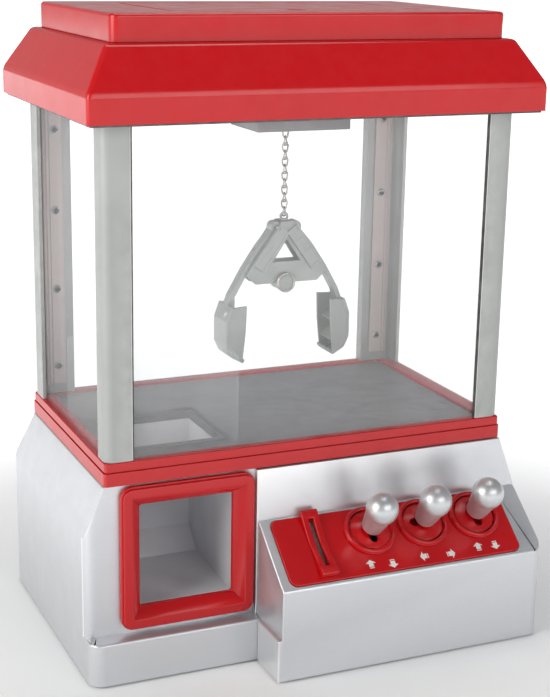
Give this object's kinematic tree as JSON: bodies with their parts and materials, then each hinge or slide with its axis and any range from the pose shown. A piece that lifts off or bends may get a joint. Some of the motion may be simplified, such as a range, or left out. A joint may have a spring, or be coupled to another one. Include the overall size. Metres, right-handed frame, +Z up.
{
  "type": "claw crane machine",
  "caption": "Table-top claw crane machine: glazed cabinet on a flared base with a prize bay, sloping joystick console and an overhead gantry that carries a chain-hung claw.",
  "frame": {"origin": "centre of the glazed cabinet's plan, on the surface that the machine stands on", "axes": "+Z up, front faces -Y, +X to the right seen from the front"},
  "size_m": [0.273, 0.2036, 0.37],
  "materials": {
    "silver_plastic": "satin silver moulded plastic",
    "red_plastic": "glossy red moulded plastic",
    "dark_plastic": "matt black moulded plastic",
    "post_grey": "satin silver-grey plastic",
    "strip_pink": "matt warm grey plastic",
    "chute_grey": "matt light grey plastic",
    "deck_grey": "matt grey plastic",
    "clear_sheet": "clear polished sheet",
    "foot_rubber": "matt black rubber",
    "ball_grey": "satin silver-grey plastic",
    "gantry_grey": "satin mid grey plastic",
    "gantry_white": "matt off-white plastic",
    "claw_grey": "satin grey-green plastic",
    "nickel": "bright nickel plate",
    "steel": "plated steel",
    "board_green": "green solder mask",
    "speaker_black": "black paper cone and frame"
  },
  "bodies": {
    "cabinet": {"base_housing": "silver_plastic", "base_plate": "dark_plastic", "rubber_feet": "foot_rubber", "battery_door": "dark_plastic", "battery_holder": "dark_plastic", "console_housing": "silver_plastic", "control_panel": "red_plastic", "coin_slot_bezel": "red_plastic", "coin_chute": "gantry_white", "coin_bank": "dark_plastic", "coin_bank_door": "dark_plastic", "joystick_bezel_left": "red_plastic", "joystick_bezel_middle": "red_plastic", "joystick_bezel_right": "red_plastic", "joystick_brackets": "dark_plastic", "joystick_switches": "dark_plastic", "prize_frame": "red_plastic", "prize_chute": "chute_grey", "trim_band": "red_plastic", "floor_tray": "deck_grey", "chute_guard": "clear_sheet", "post_front_left": "post_grey", "post_front_right": "post_grey", "post_back_left": "post_grey", "post_back_right": "post_grey", "post_strips": "strip_pink", "screws": "steel", "window_front": "clear_sheet", "window_back": "clear_sheet", "window_left": "clear_sheet", "window_right": "clear_sheet", "roof_frame": "dark_plastic", "roof_canopy": "red_plastic", "roof_cap": "red_plastic", "hatch_pin": "steel", "side_rails": "steel", "circuit_board": "board_green", "speaker": "speaker_black", "switch_body": "dark_plastic"},
    "stick_left": {"joystick_left": "ball_grey"},
    "stick_middle": {"joystick_middle": "ball_grey"},
    "stick_right": {"joystick_right": "ball_grey"},
    "coin_arm": {"coin_lever": "steel"},
    "hatch": {"filler_hatch": "red_plastic"},
    "switch_knob": {"power_switch": "red_plastic"},
    "bridge": {"bridge_trucks": "gantry_white", "bridge_rods": "steel", "bridge_motor": "steel"},
    "track_wheel": {"bridge_wheel": "foot_rubber"},
    "carriage": {"carriage_box": "gantry_grey", "carriage_lid": "gantry_grey", "carriage_motor": "steel", "winch_motor": "steel"},
    "drive_wheel": {"carriage_wheel": "foot_rubber"},
    "drum": {"winch_drum": "gantry_white"},
    "claw": {"hoist_chain": "nickel", "claw_hub": "claw_grey", "claw_pins": "steel"},
    "left_jaw": {"jaw_left": "claw_grey"},
    "right_jaw": {"jaw_right": "claw_grey"}
  },
  "joints": [
    {"name": "joystick_left_tilt", "type": "hinge", "parent": "cabinet", "child": "stick_left", "pos_m": [0.03, -0.08324, 0.06557], "axis": [1, 0, 0], "range_deg": [-18, 18], "stiffness_Nm_per_rad": 0.2},
    {"name": "joystick_middle_tilt", "type": "hinge", "parent": "cabinet", "child": "stick_middle", "pos_m": [0.065, -0.08324, 0.06557], "axis": [0, 0.7865, 0.6175], "range_deg": [-18, 18], "stiffness_Nm_per_rad": 0.2},
    {"name": "joystick_right_tilt", "type": "hinge", "parent": "cabinet", "child": "stick_right", "pos_m": [0.1, -0.08324, 0.06557], "axis": [1, 0, 0], "range_deg": [-18, 18], "stiffness_Nm_per_rad": 0.2},
    {"name": "coin_lever_dip", "type": "hinge", "parent": "cabinet", "child": "coin_arm", "pos_m": [-0.0043, -0.07404, 0.0406], "axis": [1, 0, 0], "range_deg": [0, 20], "stiffness_Nm_per_rad": 0.004, "springref_deg": -5.73},
    {"name": "hatch_hinge", "type": "hinge", "parent": "cabinet", "child": "hatch", "pos_m": [0, 0.042, 0.3678], "axis": [-1, 0, 0], "range_deg": [0, 100]},
    {"name": "power_slide", "type": "slide", "parent": "cabinet", "child": "switch_knob", "axis": [1, 0, 0], "range_m": [0, 0.004]},
    {"name": "bridge_slide", "type": "slide", "parent": "cabinet", "child": "bridge", "axis": [0, -1, 0], "range_m": [0, 0.086]},
    {"name": "carriage_slide", "type": "slide", "parent": "bridge", "child": "carriage", "axis": [1, 0, 0], "range_m": [-0.1, 0.033]},
    {"name": "hoist_slide", "type": "slide", "parent": "carriage", "child": "claw", "axis": [0, 0, 1], "range_m": [-0.018, 0.045]},
    {"name": "jaw_left_hinge", "type": "hinge", "parent": "claw", "child": "left_jaw", "pos_m": [0.0189, 0.03, 0.2344], "axis": [0, -1, 0], "range_deg": [0, 19], "stiffness_Nm_per_rad": 0.02, "springref_deg": -22.92},
    {"name": "jaw_right_hinge", "type": "hinge", "parent": "claw", "child": "right_jaw", "pos_m": [0.0321, 0.03, 0.2344], "axis": [0, 1, 0], "range_deg": [0, 19]},
    {"name": "drum_spin", "type": "hinge", "parent": "carriage", "child": "drum", "pos_m": [0.0255, 0.0379, 0.3055], "axis": [1, 0, 0], "range_deg": [-340, 145]},
    {"name": "drive_wheel_spin", "type": "hinge", "parent": "carriage", "child": "drive_wheel", "pos_m": [0.0344, 0.0498, 0.3264], "axis": [0, 1, 0], "range_deg": [-390, 1175]},
    {"name": "track_wheel_spin", "type": "hinge", "parent": "bridge", "child": "track_wheel", "pos_m": [-0.1307, 0.0498, 0.3211], "axis": [1, 0, 0], "range_deg": [0, 1240]}
  ],
  "couplings": [
    {"joint": "jaw_right_hinge", "follows": "jaw_left_hinge", "ratio": 1},
    {"joint": "drum_spin", "follows": "hoist_slide", "rad_per_m": -126.58},
    {"joint": "drive_wheel_spin", "follows": "carriage_slide", "rad_per_m": -204.08},
    {"joint": "track_wheel_spin", "follows": "bridge_slide", "rad_per_m": 250}
  ]
}
